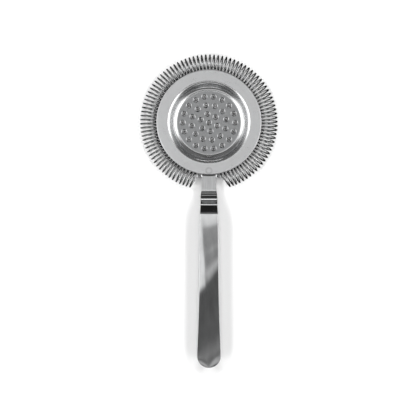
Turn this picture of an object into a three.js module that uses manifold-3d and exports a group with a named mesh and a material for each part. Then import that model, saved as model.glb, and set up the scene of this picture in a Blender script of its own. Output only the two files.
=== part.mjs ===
// Hawthorne strainer for a cocktail shaker, in millimetres, with +Z up. It lies on its
// coil spring on the plane z = 0, with its handle towards -Y. Every part is drawn about
// the dish's axis, and the whole group is then shifted along Y, so that the origin is at
// the middle of the strainer's length.

import * as THREE from 'three';
import { mergeVertices } from 'three/addons/utils/BufferGeometryUtils.js';
import Module from 'manifold-3d';

// Coil spring: the wire winds round a ring that lies under the dish's flange.
const WIRE = 0.8;
const COIL_DIAMETER = 12;
const SPRING_WIDTH = 92;           // over the ring, which is slightly flattened
const SPRING_LENGTH = 91;
const TURNS = 94;
const END_TURNS = 2;
const TURNS_PER_SECTOR = 6;
const END_ANGLE = 13.7;           // from the handle's axis to each end of the spring, degrees
const END_TILT = 15;              // how far the last turn leans away from radial, degrees
const TILTED_TURNS = 4;
const CUT = 0.3;                  // gap where one stretch of the wire ends and the next begins
const STEPS_PER_TURN = 8;

// Dish: one sheet of steel, drawn into a flange, a well and a flat, perforated floor.
const SHEET = 0.9;
const FLANGE_RADIUS = 35;
const FLANGE_UNDERSIDE = 12.3;
const WELL_DEPTH = 9;
const WALL_RADIUS = 25.2;         // inside of the well
const RIM_FILLET = 2.4;
const FLOOR_FILLET = 4;
const DISH_SEGMENTS = 60;
const HOLE_DIAMETER = 2.5;
const HOLE_RING_PITCH = 5.85;
const HOLE_RINGS = 3;
const HOLE_START_ANGLE = 100;     // each ring has a hole on this line, degrees from +X
const HOLE_SIDES = 8;

// Handle: one strip, welded under the flange by its flat end, with an upward S-bend.
const STRIP = 1.5;
const TANG_START = 28.4;
const BEND_START = 45.3;
const BEND_SLOPE = 55;
const LOWER_BEND_RADIUS = 9.5;
const BEND_STRAIGHT = 3.3;
const KNEE_RADIUS = 4.5;
const RAMP_SLOPE = 40;            // above the knee, up to the grip
const RAMP_LENGTH = 5.9;
const UPPER_BEND_RADIUS = 1.7;
const GRIP_START_SLOPE = 1;
const GRIP_SAG = 7;               // how much the grip's slope falls along its length, degrees
const NECK_WIDTH = 9.1;
const END_WIDTH = 15.9;
const END_LENGTH = 8.2;           // length of the rounded end
const HANDLE_REACH = 162.7;       // from the dish's axis to the handle's end
const HANDLE_WIDTHS = [           // distance from the dish's axis, and the strip's width there
  [40, NECK_WIDTH], [45, 9.8], [48.5, 10.8], [55, 11], [61, 11.6], [66, 12.1], [109, 13.2],
  [130, 14.2], [152, END_WIDTH],
];

// Spring retainer: a small bent strip, welded under the tang, with an ear on each side.
const RETAINER = 0.8;
const PAD_WIDTH = 8.4;
const PAD_LENGTH = 5.6;
const EAR_FRONT = 36.8;           // from the dish's axis to the ears' edge nearest the handle
const EAR_WIDTH = 2;
const EAR_REACH = 10.8;
const EAR_DROP_SLOPE = 60;
const EAR_DROP_STRAIGHT = 2.2;
const EAR_BEND_RADIUS = 1.5;

const COIL_RADIUS = (COIL_DIAMETER - WIRE) / 2;
const WIRE_CORNER = (WIRE / 2) * Math.sqrt(Math.PI / 2);   // four sides, the round wire's area
const COIL_HEIGHT = COIL_RADIUS + WIRE_CORNER;
const RING_HALF_WIDTH = (SPRING_WIDTH - COIL_DIAMETER) / 2;
const RING_HALF_LENGTH = (SPRING_LENGTH - COIL_DIAMETER) / 2;
const FLANGE_TOP = FLANGE_UNDERSIDE + SHEET;
const FLOOR_TOP = FLANGE_TOP - WELL_DEPTH;
const FLOOR_RADIUS = WALL_RADIUS - FLOOR_FILLET;
const RIM_RADIUS = WALL_RADIUS + RIM_FILLET;
const TANG_UNDERSIDE = FLANGE_UNDERSIDE - STRIP;
const DISH_PLACE = (HANDLE_REACH - SPRING_LENGTH / 2) / 2;

const radians = THREE.MathUtils.degToRad;
const wasm = await Module();
wasm.setup();

// A closed geometry as a solid that can be cut, without its zero-area triangles.
function solid(geometry) {
  const bare = geometry.clone();
  bare.deleteAttribute('normal');
  bare.deleteAttribute('uv');
  const merged = mergeVertices(bare, 1e-4);
  const corners = merged.index.array;
  const kept = [];
  for (let i = 0; i < corners.length; i += 3) {
    const [a, b, c] = [corners[i], corners[i + 1], corners[i + 2]];
    if (a !== b && b !== c && c !== a) kept.push(a, b, c);
  }
  const vertProperties = merged.attributes.position.array;
  return new wasm.Manifold(
    new wasm.Mesh({ numProp: 3, vertProperties, triVerts: new Uint32Array(kept) }),
  );
}

function geometryOf(manifold) {
  const mesh = manifold.getMesh();
  const geometry = new THREE.BufferGeometry();
  geometry.setAttribute('position', new THREE.BufferAttribute(mesh.vertProperties, 3));
  geometry.setIndex(new THREE.BufferAttribute(mesh.triVerts, 1));
  geometry.computeVertexNormals();
  return geometry;
}

function steel(color, roughness) {
  return new THREE.MeshStandardMaterial({ color, roughness, metalness: 1 });
}

function part(name, geometry, material) {
  const mesh = new THREE.Mesh(geometry, material);
  mesh.name = name;
  return mesh;
}

// Points on an arc, from one angle to another in degrees.
function arc(x, y, radius, from, to, steps) {
  const points = [];
  for (let i = 0; i <= steps; i += 1) {
    const angle = radians(from + ((to - from) * i) / steps);
    points.push(new THREE.Vector2(x + radius * Math.cos(angle), y + radius * Math.sin(angle)));
  }
  return points;
}

// The side view of a bent strip: its middle line starts at (x, y) with a slope in degrees
// and follows the moves, each a straight length or an arc of a radius and a turn.
function stripShape(x, y, slope, thickness, moves) {
  const upper = [];
  const lower = [];
  let heading = radians(slope);
  const lay = () => {
    const across = new THREE.Vector2(-Math.sin(heading), Math.cos(heading));
    upper.push(new THREE.Vector2(x, y).addScaledVector(across, thickness / 2));
    lower.push(new THREE.Vector2(x, y).addScaledVector(across, -thickness / 2));
  };
  lay();
  for (const { length = 0, radius = 0, turn = 0, steps = 1 } of moves) {
    for (let i = 0; i < steps; i += 1) {
      const swing = radians(turn) / steps;
      const chord = length / steps || 2 * radius * Math.abs(Math.sin(swing / 2));
      x += chord * Math.cos(heading + swing / 2);
      y += chord * Math.sin(heading + swing / 2);
      heading += swing;
      lay();
    }
  }
  return new THREE.Shape([...lower, ...upper.reverse()]);
}

// A bent strip is what a plan outline and a side view have in common.
function bentStrip(plan, side, height, turnSide) {
  const outline = new THREE.ExtrudeGeometry(plan, { depth: height, bevelEnabled: false });
  return geometryOf(solid(outline).intersect(solid(turnSide(side))));
}

function dish() {
  const floorBend = [FLOOR_RADIUS, FLOOR_TOP + FLOOR_FILLET];
  const rimBend = [RIM_RADIUS, FLANGE_TOP - RIM_FILLET];
  const profile = [
    new THREE.Vector2(0, FLOOR_TOP - SHEET),
    ...arc(...floorBend, FLOOR_FILLET + SHEET, -90, 0, 5),
    ...arc(...rimBend, RIM_FILLET - SHEET, 180, 90, 3),
    new THREE.Vector2(FLANGE_RADIUS, FLANGE_UNDERSIDE),
    new THREE.Vector2(FLANGE_RADIUS, FLANGE_TOP),
    ...arc(...rimBend, RIM_FILLET, 90, 180, 4),
    ...arc(...floorBend, FLOOR_FILLET, 0, -90, 5),
    new THREE.Vector2(0, FLOOR_TOP),
  ];
  const sheet = new THREE.LatheGeometry(profile, DISH_SEGMENTS).rotateX(Math.PI / 2);
  let body = solid(sheet);
  for (const [x, y] of holePlaces()) {
    const radius = HOLE_DIAMETER / 2;
    const drill = new THREE.CylinderGeometry(radius, radius, 3 * SHEET, HOLE_SIDES);
    drill.rotateX(Math.PI / 2).translate(x, y, FLOOR_TOP - SHEET / 2);
    body = body.subtract(solid(drill));
  }
  return part('dish', geometryOf(body), steel('#b9bbbd', 0.34));
}

// One hole at the centre, and six more in each ring than in the ring inside it.
function holePlaces() {
  const places = [[0, 0]];
  for (let ring = 1; ring <= HOLE_RINGS; ring += 1) {
    for (let i = 0; i < 6 * ring; i += 1) {
      const angle = radians(HOLE_START_ANGLE + (60 * i) / ring);
      const radius = ring * HOLE_RING_PITCH;
      places.push([radius * Math.cos(angle), radius * Math.sin(angle)]);
    }
  }
  return places;
}

function handle() {
  const stations = HANDLE_WIDTHS.map(([y, width]) => new THREE.Vector2(width / 2, -y));
  const edge = new THREE.SplineCurve(stations);
  const right = [
    new THREE.Vector2(NECK_WIDTH / 2, -TANG_START),
    ...edge.getPoints(28),
    ...roundEnd(),
  ];
  const left = right.map((point) => new THREE.Vector2(-point.x, point.y)).reverse();
  const plan = new THREE.Shape([...left.slice(1), ...right]);

  const side = stripShape(TANG_START - 1, FLANGE_UNDERSIDE - STRIP / 2, 0, STRIP, [
    { length: BEND_START - TANG_START + 1 },
    { radius: LOWER_BEND_RADIUS, turn: BEND_SLOPE, steps: 6 },
    { length: BEND_STRAIGHT },
    { radius: KNEE_RADIUS, turn: RAMP_SLOPE - BEND_SLOPE, steps: 2 },
    { length: RAMP_LENGTH },
    { radius: UPPER_BEND_RADIUS, turn: GRIP_START_SLOPE - RAMP_SLOPE, steps: 4 },
    { radius: gripRadius(), turn: -GRIP_SAG, steps: 8 },
  ]);
  const turnSide = (shape) => {
    const depth = 2 * END_WIDTH;
    const block = new THREE.ExtrudeGeometry(shape, { depth, bevelEnabled: false });
    return block.rotateX(Math.PI / 2).rotateZ(-Math.PI / 2).translate(depth / 2, 0, 0);
  };
  const top = 2 * FLANGE_TOP;
  return part('handle', bentStrip(plan, side, top, turnSide), steel('#a9abae', 0.18));
}

// Half of the handle's rounded end, a quarter of an ellipse that stops at the middle.
function roundEnd() {
  const y = HANDLE_REACH - END_LENGTH;
  return arc(0, 0, 1, 0, -90, 8).map(
    (point) => new THREE.Vector2((point.x * END_WIDTH) / 2, point.y * END_LENGTH - y),
  );
}

// The radius at which the grip's slope falls by GRIP_SAG over the grip's length.
function gripRadius() {
  const fall = GRIP_SAG - GRIP_START_SLOPE;
  const length = HANDLE_REACH - BEND_START;
  return length / (Math.sin(radians(fall)) + Math.sin(radians(GRIP_START_SLOPE)));
}

function springRetainer() {
  const [padX, back] = [PAD_WIDTH / 2, EAR_FRONT - PAD_LENGTH];
  const earRound = EAR_WIDTH / 2;
  const earMiddle = EAR_FRONT - earRound;
  const plan = new THREE.Shape([
    new THREE.Vector2(-padX, -back),
    new THREE.Vector2(-padX, -EAR_FRONT + EAR_WIDTH),
    ...arc(-EAR_REACH + earRound, -earMiddle, earRound, 90, 270, 6),
    ...arc(EAR_REACH - earRound, -earMiddle, earRound, -90, 90, 6),
    new THREE.Vector2(padX, -EAR_FRONT + EAR_WIDTH),
    new THREE.Vector2(padX, -back),
  ]);
  const height = TANG_UNDERSIDE - RETAINER / 2;
  const bend = { radius: EAR_BEND_RADIUS, steps: 3 };
  const rise = { ...bend, turn: EAR_DROP_SLOPE };
  const fall = { ...bend, turn: -EAR_DROP_SLOPE };
  const [ear, slope] = [{ length: EAR_REACH }, { length: EAR_DROP_STRAIGHT }];
  const side = stripShape(-padX - earRun(), height - earDrop(), 0, RETAINER, [
    ...[ear, rise, slope, fall],
    { length: PAD_WIDTH },
    ...[fall, slope, rise, ear],
  ]);
  const turnSide = (shape) => {
    const depth = 2 * PAD_LENGTH;
    const block = new THREE.ExtrudeGeometry(shape, { depth, bevelEnabled: false });
    return block.rotateX(Math.PI / 2).translate(0, -back + PAD_LENGTH / 2, 0);
  };
  return part(
    'spring_retainer',
    bentStrip(plan, side, FLANGE_TOP, turnSide),
    steel('#b4b6b8', 0.3),
  );
}

// How far an ear's bends run sideways, with the straight ear beyond them.
function earRun() {
  const slope = radians(EAR_DROP_SLOPE);
  const bends = 2 * EAR_BEND_RADIUS * Math.sin(slope);
  return bends + EAR_DROP_STRAIGHT * Math.cos(slope) + EAR_REACH;
}

// How far an ear lies below the pad.
function earDrop() {
  const slope = radians(EAR_DROP_SLOPE);
  const bends = 2 * EAR_BEND_RADIUS * (1 - Math.cos(slope));
  return bends + EAR_DROP_STRAIGHT * Math.sin(slope);
}

// The wire's middle line between two turn numbers, counted from the spring's right end.
class CoilCurve extends THREE.Curve {
  constructor(from, to) {
    super();
    this.from = from;
    this.to = to;
  }

  getPoint(t, target = new THREE.Vector3()) {
    const turn = THREE.MathUtils.lerp(this.from, this.to, t);
    const angle = radians(-90 + END_ANGLE + ((360 - 2 * END_ANGLE) * turn) / TURNS);
    const lean = endLean(turn) - endLean(TURNS - turn);
    const phase = 2 * Math.PI * turn + Math.PI / 2;
    const reach = COIL_RADIUS * Math.cos(phase);
    return target.set(
      RING_HALF_WIDTH * Math.cos(angle) + reach * Math.cos(angle + lean),
      RING_HALF_LENGTH * Math.sin(angle) + reach * Math.sin(angle + lean),
      COIL_HEIGHT + COIL_RADIUS * Math.sin(phase),
    );
  }

  // The turns are even, so equal steps along the curve are equal steps of t.
  getUtoTmapping(u) {
    return u;
  }
}

// A turn near the spring's end leans over, most of all the last one.
function endLean(turnsFromEnd) {
  const near = THREE.MathUtils.clamp(1 - turnsFromEnd / TILTED_TURNS, 0, 1);
  return radians(END_TILT) * near;
}

// A stretch of the wire, trimmed at both ends.
function springStretch(name, from, to) {
  const turnLength = 2 * Math.PI * COIL_RADIUS;
  const trim = CUT / 2 / turnLength;
  const section = new THREE.Shape(arc(0, 0, WIRE_CORNER, 0, 270, 3));
  const extrudePath = new CoilCurve(from + trim, to - trim);
  const steps = Math.round((to - from) * STEPS_PER_TURN);
  const wire = new THREE.ExtrudeGeometry(section, { steps, extrudePath, bevelEnabled: false });
  return part(name, wire, steel('#c6c8ca', 0.2));
}

// The two ends stay on the retainer's ears. The sectors between them move as the spring is
// pressed towards the handle.
function spring() {
  const stretches = [
    springStretch('spring_end_right', 0, END_TURNS),
    springStretch('spring_end_left', TURNS - END_TURNS, TURNS),
  ];
  const sectors = (TURNS - 2 * END_TURNS) / TURNS_PER_SECTOR;
  for (let i = 0; i < sectors; i += 1) {
    const name = `spring_coil_${String(i + 1).padStart(2, '0')}`;
    const from = END_TURNS + i * TURNS_PER_SECTOR;
    stretches.push(springStretch(name, from, from + TURNS_PER_SECTOR));
  }
  return stretches;
}

const strainer = new THREE.Group();
strainer.add(dish(), handle(), springRetainer(), ...spring());
strainer.position.y = DISH_PLACE;

export default strainer;
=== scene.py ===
import math

import bmesh
import bpy
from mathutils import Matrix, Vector, noise
from mathutils.geometry import delaunay_2d_cdt


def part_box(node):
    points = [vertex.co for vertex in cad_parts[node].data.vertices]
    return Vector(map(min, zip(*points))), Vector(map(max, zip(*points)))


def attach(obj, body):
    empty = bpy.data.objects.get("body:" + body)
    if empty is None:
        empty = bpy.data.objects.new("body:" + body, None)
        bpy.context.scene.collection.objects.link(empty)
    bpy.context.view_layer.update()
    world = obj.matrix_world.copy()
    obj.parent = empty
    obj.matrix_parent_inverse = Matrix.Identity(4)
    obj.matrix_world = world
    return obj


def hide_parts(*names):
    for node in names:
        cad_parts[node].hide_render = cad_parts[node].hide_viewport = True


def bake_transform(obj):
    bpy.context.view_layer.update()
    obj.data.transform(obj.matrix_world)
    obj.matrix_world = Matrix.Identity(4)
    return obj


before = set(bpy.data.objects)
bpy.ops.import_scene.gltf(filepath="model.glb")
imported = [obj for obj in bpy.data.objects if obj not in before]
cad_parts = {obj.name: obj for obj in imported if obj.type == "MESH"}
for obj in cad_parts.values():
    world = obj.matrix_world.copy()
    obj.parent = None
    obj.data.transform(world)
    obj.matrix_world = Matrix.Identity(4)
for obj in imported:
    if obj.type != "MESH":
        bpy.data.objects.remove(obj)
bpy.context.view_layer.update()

# The shapes below are worked out in millimetres and stored in metres.
MM = 0.001

# The dish, from its CAD box and the sheet that it is drawn from.
dish_low, dish_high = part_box("dish")
AXIS_X = (dish_low.x + dish_high.x) / 2 / MM
AXIS_Y = (dish_low.y + dish_high.y) / 2 / MM
SHEET = 0.9
EDGE_ROUND = 0.2                  # how far the cut edges of the strips are rounded
RIM_ROUND = SHEET / 2             # the flange's edge is fully rounded
FLANGE_RADIUS = (dish_high.x - dish_low.x) / 2 / MM
FLANGE_TOP = dish_high.z / MM
FLOOR_TOP = dish_low.z / MM + SHEET
WALL_RADIUS = 25.2
RIM_FILLET = 2.4
FLOOR_FILLET = 4.0
FLOOR_RADIUS = WALL_RADIUS - FLOOR_FILLET
RIM_RADIUS = WALL_RADIUS + RIM_FILLET
HOLE_RADIUS = 1.25
HOLE_FILLET = 0.75                # where the floor rolls over into a hole
HOLE_REACH = 2.2                  # out to where the floor is flat again
HOLE_RING_PITCH = 5.85
HOLE_RINGS = 3
HOLE_START_ANGLE = 100
WELD_PLACE = 32.4                 # from the dish's axis, above the neck
WELD_RADIUS = 1.7
WELD_DEPTH = 0.07

# The handle's strip. Distances along it are measured from the dish's axis.
handle_low, handle_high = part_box("handle")
STRIP = 1.5
TANG_START = AXIS_Y - handle_high.y / MM
HANDLE_REACH = AXIS_Y - handle_low.y / MM
BEND_START = 45.3
BEND_SLOPE = 55
LOWER_BEND_RADIUS = 9.5
BEND_STRAIGHT = 3.3
KNEE_RADIUS = 4.5
RAMP_SLOPE = 40
RAMP_LENGTH = 5.9
UPPER_BEND_RADIUS = 1.7
GRIP_START = 61.4
GRIP_START_SLOPE = 1
GRIP_SAG = 7
END_LENGTH = 8.2
END_WIDTH = 15.9
HANDLE_WIDTHS = [
    (TANG_START, 9.1), (40, 9.1), (45, 9.8), (48.5, 10.8), (55, 11), (61, 11.6), (66, 12.1),
    (109, 13.2), (130, 14.2), (152, END_WIDTH),
]
GRIP_CROWN = 0.16                 # how much higher the grip's middle is than its edges
GRIP_WAVE = 0.022                 # the polished surface's unevenness
CROWN_START = 52                  # the crown grows over the bend, and then along the grip
BEND_CROWN = 0.4                  # the share of it that the bend brings
BEND_CROWN_LENGTH = 10
GRIP_CROWN_LENGTH = 60

# The spring's wire.
WIRE = 0.8
COIL_DIAMETER = 12
RING_HALF_WIDTH = 40
RING_HALF_LENGTH = 39.5
TURNS = 94
END_ANGLE = 13.7
END_TILT = 15
TILTED_TURNS = 4

# The retainer's strip.
RETAINER = 0.8
PAD_WIDTH = 8.4
PAD_LENGTH = 5.6
EAR_FRONT = 36.8
EAR_WIDTH = 2
EAR_REACH = 10.8
EAR_DROP_SLOPE = 60
EAR_DROP_STRAIGHT = 2.2
EAR_BEND_RADIUS = 1.5

# The studio. Directions are parts of a unit vector, and levels are shares of its strength.
STUDIO_STRENGTH = 2.4
LAMP_ENERGY = 4.2
LAMP_TILT = 26
CAMERA_DISTANCE = 1.2
CAMERA_BEHIND = 58.5              # how far the picture's middle is from the dish's axis
CAMERA_ASIDE = 0.7
PICTURE_WIDTH = 0.279


# ---------------------------------------------------------------- shapes


def smoothstep(t):
    t = min(max(t, 0), 1)
    return t * t * (3 - 2 * t)


def arc(x, y, radius, start, end, steps):
    """Points on an arc, from one angle to another in degrees."""
    points = []
    for i in range(steps + 1):
        angle = math.radians(start + (end - start) * i / steps)
        points.append((x + radius * math.cos(angle), y + radius * math.sin(angle)))
    return points


def line(start, end, steps):
    """Points from start towards end, without start itself."""
    return [
        tuple(a + (b - a) * i / steps for a, b in zip(start, end))
        for i in range(1, steps + 1)
    ]


def bridge(faces, row, following):
    """Quads between two closed rows of point numbers."""
    for i in range(len(row)):
        j = (i + 1) % len(row)
        faces.append((row[i], row[j], following[j], following[i]))


def piece(name, points, faces, material, node, merge=0.0):
    """A closed mesh from points in millimetres, in place of a CAD node."""
    mesh = bpy.data.meshes.new(name)
    mesh.from_pydata([tuple(c * MM for c in p) for p in points], [], faces)
    tidy = bmesh.new()
    tidy.from_mesh(mesh)
    if merge:
        bmesh.ops.remove_doubles(tidy, verts=tidy.verts, dist=merge * MM)
    bmesh.ops.recalc_face_normals(tidy, faces=tidy.faces)
    tidy.to_mesh(mesh)
    tidy.free()
    mesh.polygons.foreach_set("use_smooth", [True] * len(mesh.polygons))
    mesh.materials.append(material)
    made = bpy.data.objects.new(name, mesh)
    bpy.context.scene.collection.objects.link(made)
    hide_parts(*node)
    return made


def strip_path(start, height, moves):
    """A bent strip's middle line as (distance, height, slope) points. Each move is a
    straight length, a bend's radius, its turn in degrees and a number of steps."""
    s, z, heading = start, height, 0.0
    path = [(s, z, heading)]
    for length, radius, turn, steps in moves:
        for _ in range(steps):
            swing = math.radians(turn) / steps
            chord = length / steps or 2 * radius * abs(math.sin(swing / 2))
            s += chord * math.cos(heading + swing / 2)
            z += chord * math.sin(heading + swing / 2)
            heading += swing
            path.append((s, z, heading))
    return path


def half_thickness(thickness, inside):
    """Half the thickness of a strip at a distance inside its rounded edge."""
    left = 1 - min(max(inside / EDGE_ROUND, 0), 1)
    return thickness / 2 - EDGE_ROUND * (1 - math.sqrt(max(1 - left**2, 0)))


def strip_faces(rings):
    """The faces of a strip from its rings, each of which goes over the top and back under."""
    faces = []
    for ring, following in zip(rings, rings[1:]):
        bridge(faces, ring, following)
    for ring in (rings[0], rings[-1]):
        last = len(ring) - 1
        for i in range(len(ring) // 2 - 1):
            faces.append((ring[i], ring[i + 1], ring[last - i - 1], ring[last - i]))
    return faces


# ---------------------------------------------------------------- materials


def steel(level):
    """A steel's colour, a little bluer than grey."""
    return (level, level + 0.005, level + 0.01)


class Graph:
    """A material's or world's node tree, with short calls to add and join nodes."""

    def __init__(self, owner):
        owner.use_nodes = True
        self.tree = owner.node_tree
        self.tree.nodes.clear()

    def add(self, kind, inputs=(), **settings):
        node = self.tree.nodes.new(kind)
        for key, value in settings.items():
            setattr(node, key, value)
        for key, value in dict(inputs).items():
            self.feed(node.inputs[key], value)
        return node

    def feed(self, socket, value):
        if isinstance(value, bpy.types.NodeSocket):
            self.tree.links.new(value, socket)
        elif value is not None:
            socket.default_value = value

    def math(self, operation, a, b=None, c=None, clamp=False):
        node = self.add("ShaderNodeMath", operation=operation, use_clamp=clamp)
        for socket, value in zip(node.inputs, (a, b, c)):
            self.feed(socket, value)
        return node.outputs[0]

    def length(self, a, b):
        squares = self.math("MULTIPLY_ADD", a, a, self.math("MULTIPLY", b, b))
        return self.math("SQRT", squares)

    def ramp(self, value, low, high, stops):
        """A curve of grey through (value, level) stops, between low and high."""
        spread = high - low
        place = self.math("MULTIPLY_ADD", value, 1 / spread, -low / spread, clamp=True)
        node = self.add("ShaderNodeValToRGB", {"Fac": place})
        elements = node.color_ramp.elements
        elements.remove(elements[1])
        for i, (at, level) in enumerate(stops):
            where = (at - low) / spread
            element = elements.new(where) if i else elements[0]
            element.position = where
            element.color = (level, level, level, 1)
        return node.outputs["Color"]

    def mask(self, value, start, end):
        """Goes smoothly from 0 at start to 1 at end, and start may be the higher."""
        node = self.add(
            "ShaderNodeMapRange",
            {"Value": value, "From Min": start, "From Max": end},
            interpolation_type="SMOOTHSTEP",
        )
        return node.outputs["Result"]

    def blend(self, factor, a, b):
        node = self.add("ShaderNodeMix", {"Factor": factor}, data_type="FLOAT")
        self.feed(node.inputs[2], a)
        self.feed(node.inputs[3], b)
        return node.outputs[0]

    def tint(self, factor, dark, light):
        """A colour between two steels."""
        node = self.add("ShaderNodeMix", {"Factor": factor}, data_type="RGBA")
        for socket, colour in ((node.inputs[6], dark), (node.inputs[7], light)):
            self.feed(socket, colour if hasattr(colour, "node") else (*colour, 1))
        return node.outputs[2]

    def noise(self, vector, scale, detail=3.0, roughness=0.55):
        inputs = {"Vector": vector, "Scale": scale, "Detail": detail, "Roughness": roughness}
        return self.add("ShaderNodeTexNoise", inputs).outputs["Fac"]

    def stretched(self, parts, scales, detail=4.0, roughness=0.55):
        """Noise whose grain has a scale of its own along each axis."""
        scaled = [self.math("MULTIPLY", part, scale) for part, scale in zip(parts, scales)]
        inputs = dict(zip("XYZ", scaled))
        vector = self.add("ShaderNodeCombineXYZ", inputs).outputs[0]
        return self.noise(vector, 1.0, detail, roughness)

    def place(self):
        """The point's place in millimetres, as a vector and as its x, y and z."""
        where = self.add("ShaderNodeTexCoord").outputs["Object"]
        inputs = {0: where, 1: (1 / MM,) * 3}
        scaled = self.add("ShaderNodeVectorMath", inputs, operation="MULTIPLY").outputs[0]
        return scaled, self.add("ShaderNodeSeparateXYZ", {0: scaled}).outputs

    def metal(self, color, roughness, height, depth):
        """A metal surface. Depth is how deep the height's grain is, in millimetres."""
        bump = self.add("ShaderNodeBump", {"Height": height, "Distance": depth * MM})
        inputs = {"Metallic": 1.0, "Roughness": roughness, "Normal": bump.outputs[0]}
        shader = self.add("ShaderNodeBsdfPrincipled", inputs)
        self.feed(shader.inputs["Base Color"], color)
        output = self.add("ShaderNodeOutputMaterial")
        self.feed(output.inputs["Surface"], shader.outputs[0])


def dish_material():
    """Satin flange and floor with fine turned rings, and a polished wall between them; the floor's
    darker colour is painted shade.
    """
    made = bpy.data.materials.new("drawn_steel")
    graph = Graph(made)
    where, (x, y, z) = graph.place()
    across = graph.math("SUBTRACT", x, AXIS_X)
    along = graph.math("SUBTRACT", y, AXIS_Y)
    radius = graph.length(across, along)
    angle = graph.math("ARCTAN2", along, across)
    rings = graph.stretched((radius, angle), (11.0, 2.2), 4.0, 0.7)
    streaks = graph.stretched((angle, radius, z), (26.0, 0.35, 0.35), 4.0, 0.6)
    cloud = graph.noise(where, 0.16)
    scuffs = graph.noise(where, 1.4, 5.0, 0.65)

    # Where the flange and the floor are, and the holes' edges, which are polished.
    underside = FLOOR_TOP - SHEET
    flange = graph.mask(radius, RIM_RADIUS - 0.5, RIM_RADIUS + 0.3)
    edges = graph.math(
        "MULTIPLY", graph.mask(z, FLOOR_TOP - 0.002, FLOOR_TOP - 0.02),
        graph.mask(z, underside + 0.15, underside + 0.25),
    )
    floor = graph.mask(radius, FLOOR_RADIUS + 0.5, FLOOR_RADIUS - 0.4)
    floor = graph.math("MULTIPLY", floor, graph.math("SUBTRACT", 1.0, edges))
    satin = graph.math("ADD", flange, floor, clamp=True)

    dulled = graph.math("MULTIPLY_ADD", rings, 0.12, graph.math("MULTIPLY", scuffs, 0.1))
    dulled = graph.math("ADD", dulled, graph.math("MULTIPLY_ADD", cloud, 0.06, 0.16))
    dulled = graph.math("MULTIPLY_ADD", floor, 0.02, dulled)
    polished = graph.math("MULTIPLY_ADD", streaks, 0.14, 0.07)
    roughness = graph.blend(satin, polished, dulled)
    height = graph.blend(satin, graph.math("MULTIPLY", streaks, 0.3), rings)

    shade = graph.math("MULTIPLY_ADD", cloud, 0.7, graph.math("MULTIPLY", rings, 0.3))
    color = graph.tint(shade, steel(0.56), steel(0.65))
    from_weld = graph.length(across, graph.math("ADD", along, WELD_PLACE))
    heat = graph.math(
        "MULTIPLY", graph.mask(from_weld, WELD_RADIUS - 0.8, WELD_RADIUS),
        graph.mask(from_weld, WELD_RADIUS + 1.2, WELD_RADIUS + 0.3),
    )
    color = graph.tint(graph.math("MULTIPLY", heat, scuffs), color, steel(0.36))
    color = graph.tint(flange, steel(0.8), color)
    color = graph.tint(edges, color, steel(0.44))
    # Painted shade: the well's floor is painted darker steel, varied by the scuffs, to stand in
    # for the shade of its recess.
    painted_floor_shade = graph.tint(scuffs, steel(0.28), steel(0.37))
    graph.metal(graph.tint(floor, color, painted_floor_shade), roughness, height, 0.007)
    return made


def handle_material():
    """Polished strip with fine lines along it and small scratches, duller on the neck, and a
    painted shadow where it meets the flange's edge.
    """
    made = bpy.data.materials.new("buffed_steel")
    graph = Graph(made)
    where, (x, y, z) = graph.place()
    neck_end = AXIS_Y - BEND_START
    neck = graph.mask(y, neck_end - 1, neck_end + 1)
    grain = graph.stretched((x, y, z), (5.0, 0.2, 1.0))
    brush = graph.stretched((x, y, z), (7.0, 0.07, 1.0), 3.0, 0.7)
    cloud = graph.noise(where, 0.11)
    scuffs = graph.noise(where, 1.1, 5.0, 0.7)
    worn = graph.math("MULTIPLY_ADD", grain, 0.03, graph.math("MULTIPLY", scuffs, 0.03))
    buffed = graph.math("MULTIPLY_ADD", cloud, 0.02, worn)
    brushed = graph.math("MULTIPLY_ADD", brush, 0.3, 0.45)
    roughness = graph.blend(neck, buffed, brushed)
    height = graph.blend(neck, graph.math("MULTIPLY", grain, 0.2), brush)

    bright = graph.tint(cloud, steel(0.58), steel(0.66))
    streaked = graph.tint(graph.mask(brush, 0.3, 0.7), steel(0.45), steel(0.66))
    # Painted shadow: the strip is painted nearly black under and just beyond the flange's edge,
    # standing in for the flange's shadow on the neck.
    across = graph.math("SUBTRACT", x, AXIS_X)
    from_axis = graph.length(across, graph.math("SUBTRACT", y, AXIS_Y))
    painted_joint_shadow = graph.mask(from_axis, FLANGE_RADIUS + 1.4, FLANGE_RADIUS + 0.6)
    color = graph.tint(painted_joint_shadow, graph.tint(neck, bright, streaked), (0.05, 0.05, 0.05))
    graph.metal(color, roughness, height, 0.006)
    return made


def wire_material():
    """Bright drawn wire with faint die lines and a little dulling."""
    made = bpy.data.materials.new("drawn_wire")
    graph = Graph(made)
    where, _ = graph.place()
    cloud = graph.noise(where, 0.5)
    lines = graph.noise(where, 6.0, 4.0, 0.7)
    dulled = graph.math("MULTIPLY_ADD", lines, 0.08, graph.math("MULTIPLY", cloud, 0.08))
    color = graph.tint(cloud, steel(0.4), steel(0.54))
    graph.metal(color, graph.math("ADD", dulled, 0.02), lines, 0.002)
    return made


def retainer_material():
    """Mill-finish strip, duller than the polished parts."""
    made = bpy.data.materials.new("mill_steel")
    graph = Graph(made)
    where, parts = graph.place()
    grain = graph.stretched(parts, (0.8, 9.6, 0.8))
    cloud = graph.noise(where, 0.4, 4.0)
    dulled = graph.math("MULTIPLY_ADD", grain, 0.15, graph.math("MULTIPLY", cloud, 0.1))
    color = graph.tint(cloud, steel(0.5), steel(0.62))
    graph.metal(color, graph.math("ADD", dulled, 0.18), grain, 0.005)
    return made


# ---------------------------------------------------------------- dish


def hole_places():
    """One hole at the centre, and six more in each ring than in the ring inside it."""
    places = [(0.0, 0.0)]
    for ring in range(1, HOLE_RINGS + 1):
        for i in range(6 * ring):
            angle = math.radians(HOLE_START_ANGLE + 60 * i / ring)
            radius = ring * HOLE_RING_PITCH
            places.append((radius * math.cos(angle), radius * math.sin(angle)))
    return places


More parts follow.
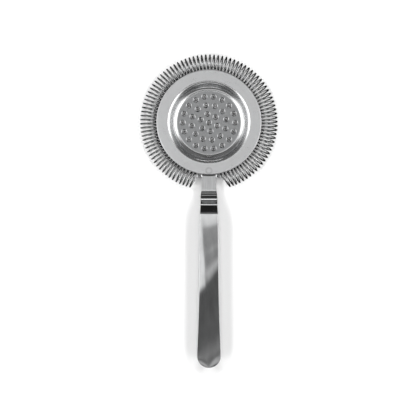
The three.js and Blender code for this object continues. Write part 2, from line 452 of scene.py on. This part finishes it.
def hole_profile():
    """A pierced hole's radius and height above the floor's top: over its rolled edge,
    through to the burr below, and out along the underside."""
    burr = 0.45
    lip = 0.2
    rolled = arc(HOLE_RADIUS + HOLE_FILLET, -HOLE_FILLET, HOLE_FILLET, 90, 180, 10)
    rounded = arc(HOLE_RADIUS + lip, -SHEET - burr + lip, lip, 180, 290, 5)
    spread = [
        (HOLE_RADIUS + 0.42, -SHEET - 0.3), (HOLE_RADIUS + 0.62, -SHEET - 0.14),
        (HOLE_REACH - 0.15, -SHEET - 0.03), (HOLE_REACH, -SHEET),
    ]
    return [(HOLE_REACH, 0.0), *rolled, *rounded, *spread]


def floor_faces(points, faces, rim, holes):
    """The flat between the floor's outer ring and the holes' outer rings."""
    outline, numbers, edges = [], [], []
    for ring in (rim, *holes):
        start = len(outline)
        outline += [Vector(points[n][:2]) for n in ring]
        numbers += ring
        edges += [(start + i, start + (i + 1) % len(ring)) for i in range(len(ring))]
    made, _, triangles, origins, _, _ = delaunay_2d_cdt(outline, edges, [], 0, 1e-5)
    middle = Vector((AXIS_X, AXIS_Y))
    places = [Vector(place) for place in hole_places()]
    for corners in triangles:
        centre = sum((made[c] for c in corners), Vector((0, 0))) / len(corners) - middle
        in_rim = centre.length < (outline[0] - middle).length
        if in_rim and all((centre - place).length > HOLE_REACH - 0.02 for place in places):
            faces.append(tuple(numbers[origins[c][0]] for c in corners))


def dish_profile():
    """The sheet's section, from the floor's underside round the flange to its top."""
    floor_bend = (FLOOR_RADIUS, FLOOR_TOP + FLOOR_FILLET)
    rim_bend = (RIM_RADIUS, FLANGE_TOP - RIM_FILLET)
    flat = FLOOR_RADIUS - 0.4
    corner = FLANGE_RADIUS - RIM_ROUND
    under = FLANGE_TOP - SHEET
    profile = [(flat, FLOOR_TOP - SHEET)]
    profile += arc(*floor_bend, FLOOR_FILLET + SHEET, -90, 0, 14)
    profile += line(profile[-1], (profile[-1][0], rim_bend[1]), 3)
    profile += arc(*rim_bend, RIM_FILLET - SHEET, 180, 90, 8)[1:]
    profile += line(profile[-1], (corner, under), 6)
    profile += arc(corner, under + RIM_ROUND, RIM_ROUND, -90, 90, 10)[1:]
    profile += line(profile[-1], (RIM_RADIUS, FLANGE_TOP), 16)
    profile += arc(*rim_bend, RIM_FILLET, 90, 180, 12)[1:]
    profile += line(profile[-1], (profile[-1][0], floor_bend[1]), 4)
    profile += arc(*floor_bend, FLOOR_FILLET, 0, -90, 16)[1:]
    profile.append((flat, FLOOR_TOP))
    return profile


def weld_dip(x, y, radius, height):
    """The spot weld's shallow mark on the flange's top."""
    if height < FLANGE_TOP - 0.01 or radius < RIM_RADIUS:
        return 0.0
    away = math.hypot(x, y + WELD_PLACE) / WELD_RADIUS
    return WELD_DEPTH * (1 - smoothstep(away))


def turned_rings(points, profile, x, y, around, dip=None):
    """Adds a profile turned about an upright axis, and gives its rings' point numbers."""
    rings = []
    for radius, height in profile:
        ring = []
        for i in range(around):
            angle = 2 * math.pi * i / around
            px, py = x + radius * math.cos(angle), y + radius * math.sin(angle)
            drop = dip(px, py, radius, height) if dip else 0.0
            ring.append(len(points))
            points.append((AXIS_X + px, AXIS_Y + py, height - drop))
        rings.append(ring)
    return rings


def dish():
    points, faces = [], []
    sheet = turned_rings(points, dish_profile(), 0, 0, 360, weld_dip)
    hole = [(radius, FLOOR_TOP + height) for radius, height in hole_profile()]
    holes = [turned_rings(points, hole, x, y, 28) for x, y in hole_places()]
    for rings in (sheet, *holes):
        for ring, following in zip(rings, rings[1:]):
            bridge(faces, ring, following)
    floor_faces(points, faces, sheet[-1], [rings[0] for rings in holes])
    floor_faces(points, faces, sheet[0], [rings[-1] for rings in holes])
    made = piece("dish_sheet", points, faces, dish_material(), ["dish"])
    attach(made, "root")


# ---------------------------------------------------------------- handle


def spline(stations, at):
    """A smooth curve through (place, value) stations: Hermite, with averaged slopes."""
    last = len(stations) - 2
    i = next((n for n in range(last) if at <= stations[n + 1][0]), last)
    (x0, y0), (x1, y1) = stations[i], stations[i + 1]
    before, after = stations[max(i - 1, 0)], stations[min(i + 2, last + 1)]
    span = x1 - x0
    rise0 = span * (y1 - before[1]) / (x1 - before[0])
    rise1 = span * (after[1] - y0) / (after[0] - x0)
    t = min(max((at - x0) / span, 0), 1)
    value = (2 * t**3 - 3 * t**2 + 1) * y0 + (t**3 - 2 * t**2 + t) * rise0
    return value + (3 * t**2 - 2 * t**3) * y1 + (t**3 - t**2) * rise1


def handle_path():
    """The strip's middle line: the flat tang and neck, the S-bend and the sagging grip."""
    fall = math.radians(GRIP_SAG - GRIP_START_SLOPE)
    sines = math.sin(fall) + math.sin(math.radians(GRIP_START_SLOPE))
    grip_radius = (HANDLE_REACH - BEND_START) / sines
    moves = [
        (BEND_START - TANG_START, 0, 0, 12),
        (0, LOWER_BEND_RADIUS, BEND_SLOPE, 26),
        (BEND_STRAIGHT, 0, 0, 3),
        (0, KNEE_RADIUS, RAMP_SLOPE - BEND_SLOPE, 6),
        (RAMP_LENGTH, 0, 0, 5),
        (0, UPPER_BEND_RADIUS, GRIP_START_SLOPE - RAMP_SLOPE, 14),
        (0, grip_radius, -GRIP_SAG, 160),
    ]
    return strip_path(TANG_START, FLANGE_TOP - SHEET - STRIP / 2, moves)


def at_distance(path, distance):
    """The path's height and slope at a distance from the dish's axis."""
    for (s0, z0, h0), (s1, z1, h1) in zip(path, path[1:]):
        if distance <= s1:
            t = (distance - s0) / (s1 - s0)
            return z0 + (z1 - z0) * t, h0 + (h1 - h0) * t
    return path[-1][1:]


def inside_end(x, past, half):
    """How far a point lies inside the handle's rounded end, about."""
    gap = 1 - (x / half) ** 2 - past**2
    steep = math.hypot(x / half**2, past / END_LENGTH)
    return gap / (2 * steep)


def crown_share(s):
    """How much of the grip's crown and unevenness a place along the handle has."""
    bend = smoothstep((s - CROWN_START) / BEND_CROWN_LENGTH)
    grip = smoothstep((s - GRIP_START) / GRIP_CROWN_LENGTH)
    return BEND_CROWN * bend + (1 - BEND_CROWN) * grip


def handle():
    path = handle_path()
    end_middle = HANDLE_REACH - END_LENGTH
    tip_steps = 40
    stations = [s for s, _, _ in path if s < end_middle]
    stations += [
        end_middle + END_LENGTH * math.sin(math.pi / 2 * i / tip_steps)
        for i in range(tip_steps + 1)
    ]
    across = 48
    points, rings = [], []
    for s in stations:
        z, slope = at_distance(path, s)
        past = max(s - end_middle, 0) / END_LENGTH
        half = spline(HANDLE_WIDTHS, s) / 2 * math.sqrt(max(1 - past**2, 0))
        crowned = crown_share(s)
        upper, lower = [], []
        for i in range(across + 1):
            u = math.sin(math.pi / 2 * (2 * i / across - 1))
            x = half * u
            inside = inside_end(x, past, END_WIDTH / 2) if past > 0 else half - abs(x)
            thick = half_thickness(STRIP, inside)
            wave = GRIP_WAVE * noise.noise(Vector((x * 0.16, s * 0.05, 3.7)))
            lift = crowned * (GRIP_CROWN * (0.5 - u * u) + wave)
            for side, row in ((1, upper), (-1, lower)):
                offset = side * thick + lift
                y = AXIS_Y - s + offset * math.sin(slope)
                row.append((AXIS_X + x, y, z + offset * math.cos(slope)))
        ring = upper + lower[::-1]
        rings.append(list(range(len(points), len(points) + len(ring))))
        points += ring
    material = handle_material()
    made = piece(
        "handle_strip", points, strip_faces(rings), material, ["handle"],
        merge=0.004,
    )
    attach(made, "root")


# ---------------------------------------------------------------- retainer


def retainer():
    """A bent strip: a pad under the tang, and an ear on each side that drops into the coil."""
    slope = math.radians(EAR_DROP_SLOPE)
    bends = 2 * EAR_BEND_RADIUS
    run = bends * math.sin(slope) + EAR_DROP_STRAIGHT * math.cos(slope)
    drop = bends * (1 - math.cos(slope)) + EAR_DROP_STRAIGHT * math.sin(slope)
    ear = (EAR_REACH - PAD_WIDTH / 2 - run, 0, 0, 14)
    rise = (0, EAR_BEND_RADIUS, EAR_DROP_SLOPE, 8)
    fall = (0, EAR_BEND_RADIUS, -EAR_DROP_SLOPE, 8)
    straight = (EAR_DROP_STRAIGHT, 0, 0, 6)
    pad = (PAD_WIDTH, 0, 0, 24)
    height = FLANGE_TOP - SHEET - STRIP - RETAINER / 2
    moves = [ear, rise, straight, fall, pad, fall, straight, rise, ear]
    across = 20
    points, rings = [], []
    for x, z, heading in strip_path(-EAR_REACH, height - drop, moves):
        tip = min((EAR_REACH - abs(x)) / (EAR_WIDTH / 2), 1)
        pinch = (EAR_WIDTH / 2) * (1 - math.sqrt(max(1 - (1 - tip) ** 2, 0)))
        wide = smoothstep((PAD_WIDTH / 2 + 0.3 - abs(x)) / 0.9)
        front = -EAR_FRONT + pinch
        back = -EAR_FRONT + EAR_WIDTH - pinch + (PAD_LENGTH - EAR_WIDTH) * wide
        upper, lower = [], []
        for i in range(across + 1):
            u = (1 + math.sin(math.pi / 2 * (2 * i / across - 1))) / 2
            y = front + (back - front) * u
            thick = half_thickness(RETAINER, min(y - front, back - y))
            for side, row in ((1, upper), (-1, lower)):
                shift = side * thick
                at_x = AXIS_X + x - shift * math.sin(heading)
                row.append((at_x, AXIS_Y + y, z + shift * math.cos(heading)))
        ring = upper + lower[::-1]
        rings.append(list(range(len(points), len(points) + len(ring))))
        points += ring
    material = retainer_material()
    made = piece(
        "retainer_strip", points, strip_faces(rings), material,
        ["spring_retainer"], merge=0.004,
    )
    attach(made, "root")


# ---------------------------------------------------------------- spring


def coil_angle(turn):
    """Where a turn is on the ring, with the turns counted from the spring's right end."""
    return math.radians(END_ANGLE - 90 + (360 - 2 * END_ANGLE) * turn / TURNS)


def coil_hub(turn):
    """The middle of a turn."""
    angle = coil_angle(turn)
    return Vector((
        AXIS_X + RING_HALF_WIDTH * math.cos(angle),
        AXIS_Y + RING_HALF_LENGTH * math.sin(angle),
        COIL_DIAMETER / 2,
    ))


def coil_point(turn):
    """A point of the wire's middle line."""
    near_right = max(1 - turn / TILTED_TURNS, 0)
    near_left = max(1 - (TURNS - turn) / TILTED_TURNS, 0)
    lean = math.radians(END_TILT) * (smoothstep(near_right) - smoothstep(near_left))
    angle = coil_angle(turn) + lean
    coil_radius = (COIL_DIAMETER - WIRE) / 2
    phase = 2 * math.pi * turn + math.pi / 2
    reach = coil_radius * math.cos(phase)
    rise = coil_radius * math.sin(phase)
    return coil_hub(turn) + Vector((reach * math.cos(angle), reach * math.sin(angle), rise))


def spring():
    """One length of wire, whose ends sit on the retainer."""
    steps_per_turn = 30
    sides = 10
    nearby = 0.002
    points, faces, rows = [], [], []
    for i in range(TURNS * steps_per_turn + 1):
        turn = i / steps_per_turn
        here = coil_point(turn)
        ahead = (coil_point(turn + nearby) - coil_point(turn - nearby)).normalized()
        out = here - coil_hub(turn)
        out = (out - ahead * out.dot(ahead)).normalized()
        side = ahead.cross(out)
        rows.append(list(range(len(points), len(points) + sides)))
        for k in range(sides):
            around = 2 * math.pi * k / sides
            spoke = math.cos(around) * out + math.sin(around) * side
            points.append(tuple(here + WIRE / 2 * spoke))
    for row, following in zip(rows, rows[1:]):
        bridge(faces, row, following)
    faces += [tuple(rows[0]), tuple(rows[-1])]
    coils = sorted(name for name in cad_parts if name.startswith("spring_coil"))
    nodes = ["spring_end_left", "spring_end_right", *coils]
    made = piece("spring_wire", points, faces, wire_material(), nodes)
    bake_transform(made)


# ---------------------------------------------------------------- studio


def table():
    """A pale table top, which the metal reflects as a dark one."""
    size = 1.6
    mesh = bpy.data.meshes.new("table")
    corners = [(-size, -size, 0), (size, -size, 0), (size, size, 0), (-size, size, 0)]
    mesh.from_pydata(corners, [], [(0, 1, 2, 3)])
    paper = bpy.data.materials.new("paper")
    graph = Graph(paper)
    where, _ = graph.place()
    fibre = graph.noise(where, 0.8)
    pale = graph.tint(fibre, (0.93, 0.93, 0.93), (0.95, 0.95, 0.95))
    seen = graph.add("ShaderNodeBsdfDiffuse", {"Color": pale})
    shown = graph.add("ShaderNodeBsdfDiffuse", {"Color": (0.03, 0.03, 0.03, 1)})
    glossy = graph.add("ShaderNodeLightPath").outputs["Is Glossy Ray"]
    inputs = {0: glossy, 1: seen.outputs[0], 2: shown.outputs[0]}
    mixed = graph.add("ShaderNodeMixShader", inputs)
    output = graph.add("ShaderNodeOutputMaterial")
    graph.feed(output.inputs["Surface"], mixed.outputs[0])
    mesh.materials.append(paper)
    floor = bpy.data.objects.new("table", mesh)
    bpy.context.scene.collection.objects.link(floor)


def side_walls(graph, aside, y, z):
    """Bright walls at the left and the right, which fade towards the horizon, and a haze."""
    turned = graph.math("MULTIPLY_ADD", aside, 0.17, y)
    reach = graph.math("ADD", graph.length(aside, turned), 1e-4)
    walls = graph.ramp(graph.math("DIVIDE", aside, reach), 0.0, 1.0, [
        (0.0, 0.02), (0.55, 0.03), (0.7, 0.08), (0.8, 0.35), (0.88, 0.8), (0.95, 1.1),
    ])
    haze = graph.ramp(z, 0.0, 1.0, [
        (0.0, 0.0), (0.12, 0.0), (0.26, 0.17), (0.44, 0.17), (0.56, 0.1), (0.8, 0.07), (0.88, 0.0),
    ])
    sideways = graph.math("MULTIPLY_ADD", graph.mask(aside, 0.05, 0.16), 0.6, 0.4)
    walls = graph.math("MAXIMUM", walls, graph.math("MULTIPLY", haze, sideways))
    falloff = graph.ramp(z, 0.0, 1.0, [(0.0, 0.0), (0.08, 0.34), (0.56, 0.38), (0.74, 1.0)])
    return graph.math("MULTIPLY", walls, falloff)


def ceiling(graph, direction, x, y):
    """Bands of light and dark across the strainer, with a window at the left of them."""
    slant = graph.math("MULTIPLY_ADD", graph.mask(y, 0.0, -0.08), -0.15, -0.07)
    slanted = graph.math("MULTIPLY_ADD", x, slant, y)
    bands = graph.ramp(slanted, -0.5, 0.5, [
        (-0.5, 0.02), (-0.36, 0.05), (-0.31, 0.22), (-0.262, 0.22), (-0.248, 0.08),
        (-0.236, 0.12), (-0.21, 0.06), (-0.12, 0.05), (-0.098, 0.05), (-0.085, 0.2),
        (-0.073, 0.27), (-0.057, 0.14), (-0.043, 0.14), (-0.034, 0.2), (-0.026, 0.15),
        (0.008, 0.17), (0.013, 0.36), (0.03, 0.42),
        (0.14, 0.42), (0.17, 0.15), (0.22, 0.015), (0.5, 0.028),
    ])
    window = graph.math("MULTIPLY", graph.mask(slanted, -0.103, -0.088), graph.mask(y, 0.3, 0.15))
    window = graph.math("MULTIPLY", window, graph.mask(x, -0.028, -0.038))
    bands = graph.math("MAXIMUM", bands, graph.math("MULTIPLY", window, 0.42))
    clouds = graph.noise(direction, 26.0, 3.0)
    return graph.math("MULTIPLY", bands, graph.math("MULTIPLY_ADD", clouds, 0.8, 0.6))


def strips(graph, aside, y, z):
    """The narrow lights: two bars and the horizon in front, and two strips behind."""
    bars = graph.ramp(y, 0.3, 0.8, [
        (0.3, 0.0), (0.4, 0.0), (0.42, 0.4), (0.45, 0.4), (0.47, 0.0), (0.69, 0.0), (0.71, 0.3),
        (0.74, 0.3), (0.76, 0.0),
    ])
    bars = graph.math("MULTIPLY", bars, graph.mask(aside, 0.06, 0.04))
    behind = graph.math("MULTIPLY", graph.mask(y, -0.38, -0.44), graph.mask(y, -0.6, -0.53))
    behind = graph.math("MULTIPLY", behind, 0.32)
    low = graph.math("MULTIPLY", graph.mask(y, -0.88, -0.93), 0.3)
    horizon = graph.math("MULTIPLY", graph.mask(z, 0.12, 0.09), graph.mask(y, 0.93, 0.97))
    brightest = graph.math("MAXIMUM", bars, behind)
    brightest = graph.math("MAXIMUM", brightest, low)
    return graph.math("MAXIMUM", brightest, horizon)


def room():
    """What the metal reflects: side walls, a ceiling and narrow strips of light. The table
    is lit by the ring of lamps alone, and the backdrop is white."""
    world = bpy.data.worlds.new("studio")
    bpy.context.scene.world = world
    graph = Graph(world)
    direction = graph.add("ShaderNodeTexCoord").outputs["Generated"]
    x, y, z = graph.add("ShaderNodeSeparateXYZ", {0: direction}).outputs
    aside = graph.math("ABSOLUTE", x)
    outward = graph.math("MAXIMUM", graph.mask(aside, 0.16, 0.3), graph.mask(z, 0.9, 0.8))
    above, around = ceiling(graph, direction, x, y), side_walls(graph, aside, y, z)
    level = graph.blend(outward, above, around)
    level = graph.math("MAXIMUM", level, strips(graph, aside, y, z))

    paths = graph.add("ShaderNodeLightPath").outputs
    diffuse = paths["Is Diffuse Ray"]
    strength = graph.math("MULTIPLY_ADD", diffuse, -STUDIO_STRENGTH, STUDIO_STRENGTH)
    level = graph.math("MULTIPLY", level, strength)
    light = graph.add("ShaderNodeBackground", {"Color": level})
    backdrop = graph.add("ShaderNodeBackground", {"Color": (1, 1, 1, 1)})
    inputs = {0: paths["Is Camera Ray"], 1: light.outputs[0], 2: backdrop.outputs[0]}
    mixed = graph.add("ShaderNodeMixShader", inputs)
    output = graph.add("ShaderNodeOutputWorld")
    graph.feed(output.inputs["Surface"], mixed.outputs[0])


def ring_light():
    """Soft lamps in a ring round the camera, which only the table shows."""
    lamps = 6
    for i in range(lamps):
        sun = bpy.data.lights.new("ring_light", "SUN")
        sun.angle = math.radians(12)
        sun.energy = LAMP_ENERGY / lamps
        lamp = bpy.data.objects.new("ring_light", sun)
        lamp.location = (0, 0, 1)
        lamp.rotation_euler = (math.radians(LAMP_TILT), 0, 2 * math.pi * i / lamps)
        lamp.visible_glossy = False
        bpy.context.scene.collection.objects.link(lamp)


def camera():
    """Looks straight down from above the strainer's middle."""
    lens = bpy.data.cameras.new("camera")
    lens.lens = lens.sensor_width * CAMERA_DISTANCE / PICTURE_WIDTH
    viewer = bpy.data.objects.new("camera", lens)
    place = (CAMERA_ASIDE * MM, (AXIS_Y - CAMERA_BEHIND) * MM, FLANGE_TOP * MM + CAMERA_DISTANCE)
    viewer.location = place
    bpy.context.scene.collection.objects.link(viewer)
    bpy.context.scene.camera = viewer
    bpy.context.scene.view_settings.view_transform = "Standard"


dish()
handle()
retainer()
spring()
table()
room()
ring_light()
camera()
